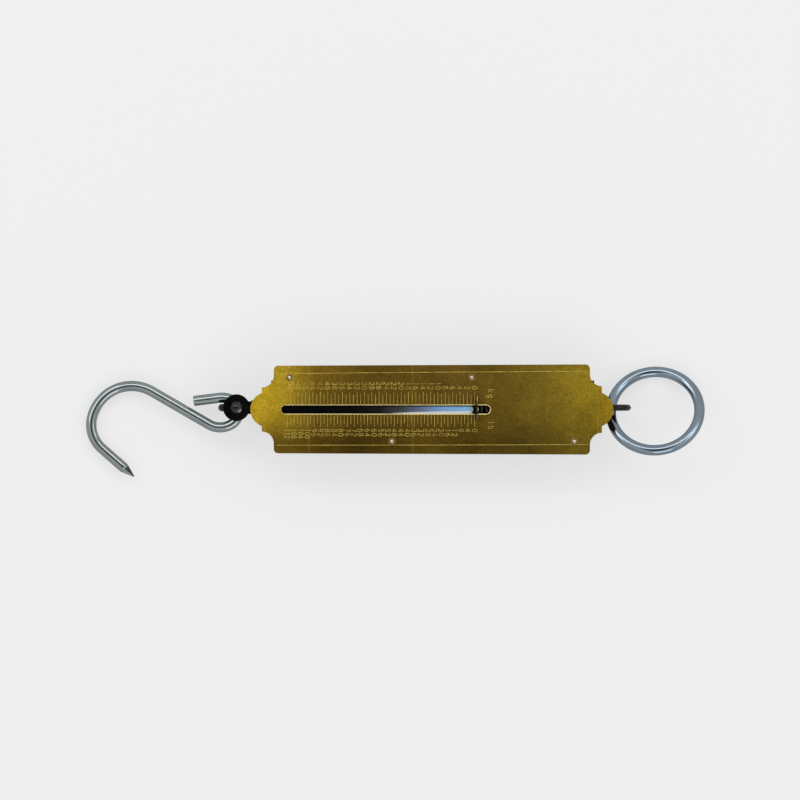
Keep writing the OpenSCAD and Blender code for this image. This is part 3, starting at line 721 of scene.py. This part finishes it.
def spring_mesh():
    """The wound spring as one round wire; it stretches evenly as the rod is drawn out."""
    turns = math.floor((SPRING_TO - SPRING_FROM - 2 * SPRING_WIRE) / SPRING_PITCH)
    start = SPRING_FROM + (SPRING_TO - SPRING_FROM - turns * SPRING_PITCH) / 2
    radius = SPRING_MEAN / 2
    centre = Vector((0, AXIS_Y, AXIS_Z))
    points = []
    lead = start - SPRING_FROM
    for i in range(LEAD_RINGS):
        points.append((SPRING_FROM + SPRING_CLEAR + (lead - SPRING_CLEAR) * i / LEAD_RINGS, radius, 0.0))
    for i in range(turns * SPRING_RINGS + 1):
        a = 2 * math.pi * i / SPRING_RINGS
        points.append((start + SPRING_PITCH * i / SPRING_RINGS, radius * math.cos(a), radius * math.sin(a)))
    end = points[-1][0]
    for i in range(1, LEAD_RINGS + 1):
        points.append((end + (SPRING_TO - SPRING_CLEAR - end) * i / LEAD_RINGS, radius, 0.0))
    ups = [Vector((0, p[1], p[2])) for p in points]
    sections = [(SPRING_WIRE / 2, ROUND)] * len(points)
    verts, faces = tube([Vector(p) + centre for p in points], sections, SPRING_SIDES, ups)
    wire = new_object("spring_wire", verts, faces, "spring", None)
    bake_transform(wire, "case", "draw", start=(SPRING_TO * MM, 0, 0), end=(SPRING_FROM * MM, 0, 0))
    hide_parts("spring")
    weights = wire.data.attributes["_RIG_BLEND"].data
    for vertex, weight in zip(wire.data.vertices, weights):
        share = (SPRING_TO - vertex.co.x / MM) / (SPRING_TO - SPRING_FROM)
        weight.value = max(0.0, min(1.0, share))


spring_mesh()


def bend(state, radius, turn):
    x, y, heading = state
    steps = math.ceil(abs(turn) / 2)
    side = 1 if turn > 0 else -1
    cx = x - side * radius * math.sin(math.radians(heading))
    cy = y + side * radius * math.cos(math.radians(heading))
    out = []
    for k in range(1, steps + 1):
        h = heading + turn * k / steps
        out.append((cx + side * radius * math.sin(math.radians(h)),
                    cy - side * radius * math.cos(math.radians(h)), h))
    return out


def straight(state, length, steps):
    x, y, heading = state
    c, s = math.cos(math.radians(heading)), math.sin(math.radians(heading))
    return [(x + length * k / steps * c, y + length * k / steps * s, heading) for k in range(1, steps + 1)]


def follow(state, pieces):
    rows = [state]
    for piece, size, amount in pieces:
        rows += piece(rows[-1], size, amount)
    return rows


# The hook's wire both ways from the middle of its small loop, as in the part's source: each bend has its radius
# and turn, each straight its length and number of rings
HOOK_ARM = ((straight, 0.8, 2), (bend, 7.2, 70), (bend, 12.4, 27), (straight, 13.8, 10))
HOOK_SHANK = ((bend, 7.2, -55.9), (bend, 12.4, -64), (straight, 36.5, 20),
              (bend, 22.6, 107.3), (bend, 17.3, 61.6), (straight, 16.3, 10))
HOOK_SIDES = 40
# The cut end's rounded edge
CUT_RADIUS = 0.5
CUT_RINGS = 5
# The ground point: it narrows by this share, and turns from round to four-sided at this rate along it
TIP_RINGS = 30
TIP_TAPER = 0.9
TIP_GRIND = 8.0


def hook_rows():
    """The wire's middle line from the cut end of the small loop to the point, each row with its section."""
    half = HOOK_WIRE / 2
    arm = follow((0.0, 0.0, 90.0), HOOK_ARM)
    cut = straight(arm[-1], CUT_RADIUS, CUT_RINGS)
    rows = [(p, half, ROUND) for p in arm]
    for k, p in enumerate(cut, 1):
        rows.append((p, half - CUT_RADIUS * (1 - math.sqrt(1 - (k / CUT_RINGS) ** 2)), ROUND))
    rows.reverse()
    shank = follow((0.0, 0.0, -90.0), HOOK_SHANK)
    rows += [(p, half, ROUND) for p in shank[1:]]
    for k, p in enumerate(straight(shank[-1], TIP_LENGTH, TIP_RINGS), 1):
        share = k / TIP_RINGS
        rows.append((p, half * (1 - TIP_TAPER * share), max(DIAMOND, ROUND - TIP_GRIND * share)))
    return rows


def hook_mesh():
    rows = hook_rows()
    turn = Matrix.Rotation(math.radians(-HOOK_DROP), 3, "Y")
    points = [turn @ Vector((p[0], p[1], 0)) + Vector(HOOK_NOSE) for p, _, _ in rows]
    up = turn @ Vector((0, 0, 1))
    verts, faces = tube(points, [(radius, power) for _, radius, power in rows], HOOK_SIDES, [up] * len(rows))
    hook = new_object("hook_wire", verts, faces, "zinc_hook", "hook")
    # The four ridges of the ground point stay crisp
    first = (len(rows) - TIP_RINGS + 2) * HOOK_SIDES
    quarter = HOOK_SIDES // 4
    for edge in hook.data.edges:
        a, b = edge.vertices
        if min(a, b) >= first and a % quarter == 0 and b % quarter == 0:
            edge.use_edge_sharp = True
    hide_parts("s_hook")


hook_mesh()


# Floor, lamps, world and camera: all their lengths are in metres

FLOOR_REACH = 4.0
FLOOR_DROP = 0.0002
FLOOR_TONE = 0.83
FLOOR_TONE_SHARE = 0.75


def floor():
    mesh = bpy.data.meshes.new("floor")
    corners = [(-FLOOR_REACH, -FLOOR_REACH, 0), (FLOOR_REACH, -FLOOR_REACH, 0),
               (FLOOR_REACH, FLOOR_REACH, 0), (-FLOOR_REACH, FLOOR_REACH, 0)]
    mesh.from_pydata(corners, [], [(0, 1, 2, 3)])
    obj = bpy.data.objects.new("floor", mesh)
    bpy.context.scene.collection.objects.link(obj)
    obj.location.z = -FLOOR_DROP
    m = Mat("floor_pale", (0.80, 0.80, 0.80), 0.0, 0.9)
    m.set("Specular IOR Level", 0.1)
    m.into(m.ramp(m.noise(m.coords(), 3.0, 2.0), [(NOISE_LOW, 0.795), (NOISE_HIGH, 0.805)]), "Base Color")
    # Seen directly or in metal, the floor is mostly its own pale tone, so that the shadow stays soft and light
    tone = m.node("ShaderNodeEmission")
    tone.inputs["Color"].default_value = (FLOOR_TONE, FLOOR_TONE, FLOOR_TONE, 1.0)
    tone.inputs["Strength"].default_value = 1.0
    rays = m.node("ShaderNodeLightPath")
    mirrored = m.math("MAXIMUM", rays.outputs["Is Glossy Ray"], rays.outputs["Is Transmission Ray"])
    seen = m.math("MAXIMUM", rays.outputs["Is Camera Ray"], mirrored)
    blend = m.node("ShaderNodeMixShader")
    m.link(m.math("MULTIPLY", seen, FLOOR_TONE_SHARE), blend.inputs["Fac"])
    m.link(m.bsdf.outputs["BSDF"], blend.inputs[1])
    m.link(tone.outputs["Emission"], blend.inputs[2])
    m.link(blend.outputs["Shader"], m.nodes["Material Output"].inputs["Surface"])
    mesh.materials.append(m.mat)


floor()


def lamp(name, place, size, power):
    """A rectangular lamp that faces the middle of the object and isn't seen by the camera."""
    data = bpy.data.lights.new(name, "AREA")
    data.shape = "RECTANGLE"
    data.size, data.size_y = size
    data.energy = power
    obj = bpy.data.objects.new(name, data)
    bpy.context.scene.collection.objects.link(obj)
    obj.location = place
    obj.rotation_mode = "QUATERNION"
    obj.rotation_quaternion = (Vector() - Vector(place)).to_track_quat("-Z", "Y")
    obj.visible_camera = False


# Each lamp stands well off the zenith, so that none of them shines straight back out of the flat face
lamp("lamp_far", (-0.02, 1.04, 1.47), (1.9, 0.35), 6.5)
lamp("lamp_left", (-1.22, 0.63, 1.15), (1.2, 0.6), 5.0)
lamp("lamp_near", (0.45, -1.26, 1.2), (1.0, 0.5), 4.0)
lamp("lamp_right", (1.35, 0.36, 1.13), (1.0, 0.6), 3.8)

# The world's grey by how far up a direction points, from level at 0 to straight overhead at 1
WORLD_STOPS = ((0.0, 0.83), (0.3, 0.78), (0.5, 0.80), (0.7, 1.0),
               (0.9, 1.0), (0.945, 0.6), (0.965, 0.12), (1.0, 0.12))


def studio_world():
    """Pale walls under a brighter ceiling with a dark patch right overhead, which draws the thin dark line
    along round wire."""
    world = bpy.data.worlds.new("studio")
    bpy.context.scene.world = world
    world.use_nodes = True
    nodes, links = world.node_tree.nodes, world.node_tree.links
    tex = nodes.new("ShaderNodeTexCoord")
    split = nodes.new("ShaderNodeSeparateXYZ")
    links.new(tex.outputs["Generated"], split.inputs[0])
    ramp = nodes.new("ShaderNodeValToRGB")
    set_stops(ramp.color_ramp, WORLD_STOPS)
    links.new(split.outputs["Z"], ramp.inputs["Fac"])
    links.new(ramp.outputs["Color"], nodes["Background"].inputs["Color"])
    nodes["Background"].inputs["Strength"].default_value = 1.0


studio_world()

# The photograph is 440.8 mm wide at the face and looks straight down from far off
VIEW_WIDTH = 0.4408
VIEW_MIDDLE = (-0.01755, 0.00523)
CAMERA_HEIGHT = 12.0
SENSOR_WIDTH = 36.0
camera_data = bpy.data.cameras.new("camera")
camera_data.sensor_width = SENSOR_WIDTH
camera_data.lens = SENSOR_WIDTH * CAMERA_HEIGHT / VIEW_WIDTH
camera_data.clip_end = 60.0
camera = bpy.data.objects.new("camera", camera_data)
camera.location = (*VIEW_MIDDLE, FACE_TOP * MM + CAMERA_HEIGHT)
bpy.context.scene.collection.objects.link(camera)
bpy.context.scene.camera = camera
bpy.context.scene.view_settings.view_transform = "Standard"
